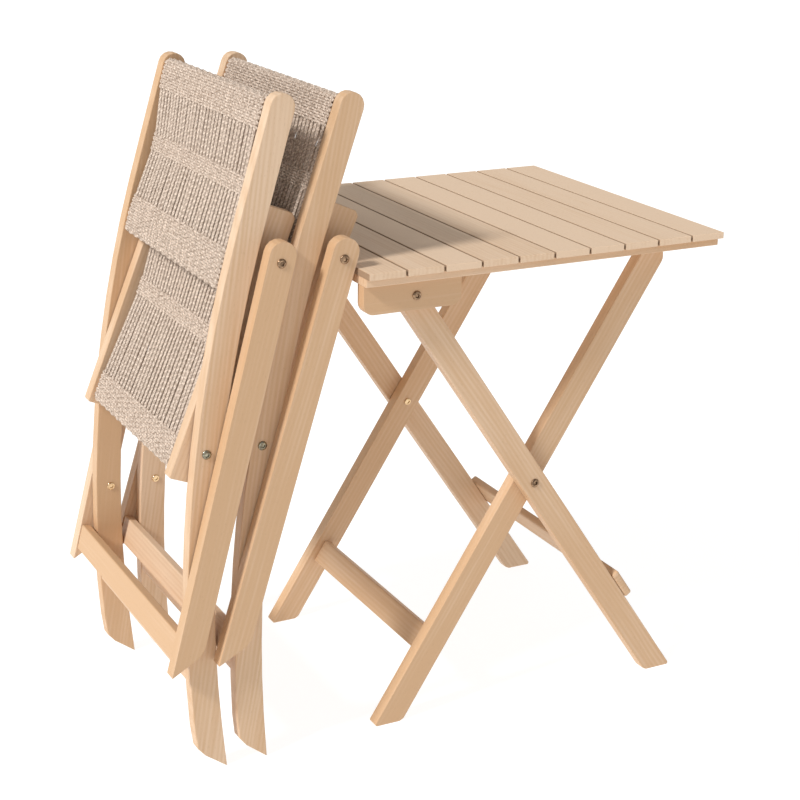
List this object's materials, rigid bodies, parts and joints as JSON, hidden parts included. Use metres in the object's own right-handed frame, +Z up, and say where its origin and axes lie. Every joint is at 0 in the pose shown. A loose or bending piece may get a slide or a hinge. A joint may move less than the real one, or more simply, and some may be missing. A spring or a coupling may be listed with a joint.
{
  "type": "patio dining set",
  "caption": "Folding slatted garden table with crossing legs, standing open, and folding chairs with woven cord seats and backs, folded and leaned on its edge.",
  "frame": {"origin": "on the floor, under the middle of the whole set's box", "axes": "+X along the table's front edge, from the chairs to the far side; +Y along the slats; +Z up"},
  "size_m": [0.8876, 0.555, 0.9869],
  "materials": {
    "beech_table": "natural beech, lightly oiled, fine straight grain",
    "beech_chair": "natural beech, lightly oiled, fine straight grain",
    "woven_cord": "two-tone beige and taupe twisted cord, matt",
    "brass_bolts": "antique brass plated steel, satin"
  },
  "bodies": {
    "table_outer_frame": {"table_outer_leg_near": "beech_table", "table_outer_leg_far": "beech_table", "table_outer_stretcher": "beech_table", "table_cross_bolt_near": "brass_bolts", "table_cross_bolt_far": "brass_bolts"},
    "table_inner_frame": {"table_inner_leg_near": "beech_table", "table_inner_leg_far": "beech_table", "table_inner_stretcher": "beech_table"},
    "table_top": {"table_slat_01": "beech_table", "table_slat_02": "beech_table", "table_slat_03": "beech_table", "table_slat_04": "beech_table", "table_slat_05": "beech_table", "table_slat_06": "beech_table", "table_slat_07": "beech_table", "table_slat_08": "beech_table", "table_slat_09": "beech_table", "table_slat_10": "beech_table", "table_batten_near": "beech_table", "table_batten_far": "beech_table", "table_bracket_near": "beech_table", "table_bracket_far": "beech_table", "table_top_bolt_near": "brass_bolts", "table_top_bolt_far": "brass_bolts"},
    "chair_1_back": {"chair_1_post_near": "beech_chair", "chair_1_post_far": "beech_chair", "chair_1_top_bar": "beech_chair", "chair_1_lower_back_bar": "beech_chair", "chair_1_back_weave": "woven_cord", "chair_1_post_stretcher": "beech_chair", "chair_1_seat_bolt_near": "brass_bolts", "chair_1_seat_bolt_far": "brass_bolts"},
    "chair_1_seat": {"chair_1_seat_rail_near": "beech_chair", "chair_1_seat_rail_far": "beech_chair", "chair_1_seat_rear_bar": "beech_chair", "chair_1_seat_front_bar": "beech_chair", "chair_1_seat_weave": "woven_cord"},
    "chair_1_rear_legs": {"chair_1_rear_leg_near": "beech_chair", "chair_1_rear_leg_far": "beech_chair", "chair_1_rear_leg_board": "beech_chair", "chair_1_front_bolt_near": "brass_bolts", "chair_1_front_bolt_far": "brass_bolts"},
    "chair_2_back": {"chair_2_post_near": "beech_chair", "chair_2_post_far": "beech_chair", "chair_2_top_bar": "beech_chair", "chair_2_lower_back_bar": "beech_chair", "chair_2_back_weave": "woven_cord", "chair_2_post_stretcher": "beech_chair", "chair_2_seat_bolt_near": "brass_bolts", "chair_2_seat_bolt_far": "brass_bolts"},
    "chair_2_seat": {"chair_2_seat_rail_near": "beech_chair", "chair_2_seat_rail_far": "beech_chair", "chair_2_seat_rear_bar": "beech_chair", "chair_2_seat_front_bar": "beech_chair", "chair_2_seat_weave": "woven_cord"},
    "chair_2_rear_legs": {"chair_2_rear_leg_near": "beech_chair", "chair_2_rear_leg_far": "beech_chair", "chair_2_rear_leg_board": "beech_chair", "chair_2_front_bolt_near": "brass_bolts", "chair_2_front_bolt_far": "brass_bolts"}
  },
  "joints": [
    {"name": "table_leg_fold", "type": "hinge", "parent": "table_outer_frame", "child": "table_inner_frame", "pos_m": [0.15122, 0, 0.3689], "axis": [0, -1, 0], "range_deg": [0, 65]},
    {"name": "table_top_tilt", "type": "hinge", "parent": "table_outer_frame", "child": "table_top", "pos_m": [-0.06838, 0, 0.6972], "axis": [0, -1, 0], "range_deg": [0, 32.5]},
    {"name": "chair_1_set_out", "type": "hinge", "parent": "table_outer_frame", "child": "chair_1_back", "pos_m": [-0.85458, 0, -1.5163], "axis": [0, -1, 0], "range_deg": [0, 36.5]},
    {"name": "chair_1_seat_fold", "type": "hinge", "parent": "chair_1_back", "child": "chair_1_seat", "pos_m": [-0.37428, 0, 0.4945], "axis": [0, 1, 0], "range_deg": [0, 99]},
    {"name": "chair_1_leg_fold", "type": "hinge", "parent": "chair_1_seat", "child": "chair_1_rear_legs", "pos_m": [-0.26868, 0, 0.7618], "axis": [0, -1, 0], "range_deg": [0, 31.7]},
    {"name": "chair_2_set_out", "type": "hinge", "parent": "table_outer_frame", "child": "chair_2_back", "pos_m": [-0.48088, 0, -0.54408], "axis": [0, -1, 0], "range_deg": [0, 38.5]},
    {"name": "chair_2_seat_fold", "type": "hinge", "parent": "chair_2_back", "child": "chair_2_seat", "pos_m": [-0.29072, 0, 0.49489], "axis": [0, 1, 0], "range_deg": [0, 99]},
    {"name": "chair_2_leg_fold", "type": "hinge", "parent": "chair_2_seat", "child": "chair_2_rear_legs", "pos_m": [-0.17448, 0, 0.75774], "axis": [0, -1, 0], "range_deg": [0, 31.7]}
  ],
  "couplings": [
    {"joint": "table_top_tilt", "follows": "table_leg_fold", "ratio": 0.5},
    {"joint": "chair_1_seat_fold", "follows": "chair_1_set_out", "ratio": 2.7123},
    {"joint": "chair_1_leg_fold", "follows": "chair_1_set_out", "ratio": 0.86849},
    {"joint": "chair_2_set_out", "follows": "chair_1_set_out", "ratio": 1.0548},
    {"joint": "chair_2_seat_fold", "follows": "chair_1_set_out", "ratio": 2.7123},
    {"joint": "chair_2_leg_fold", "follows": "chair_1_set_out", "ratio": 0.86849}
  ]
}
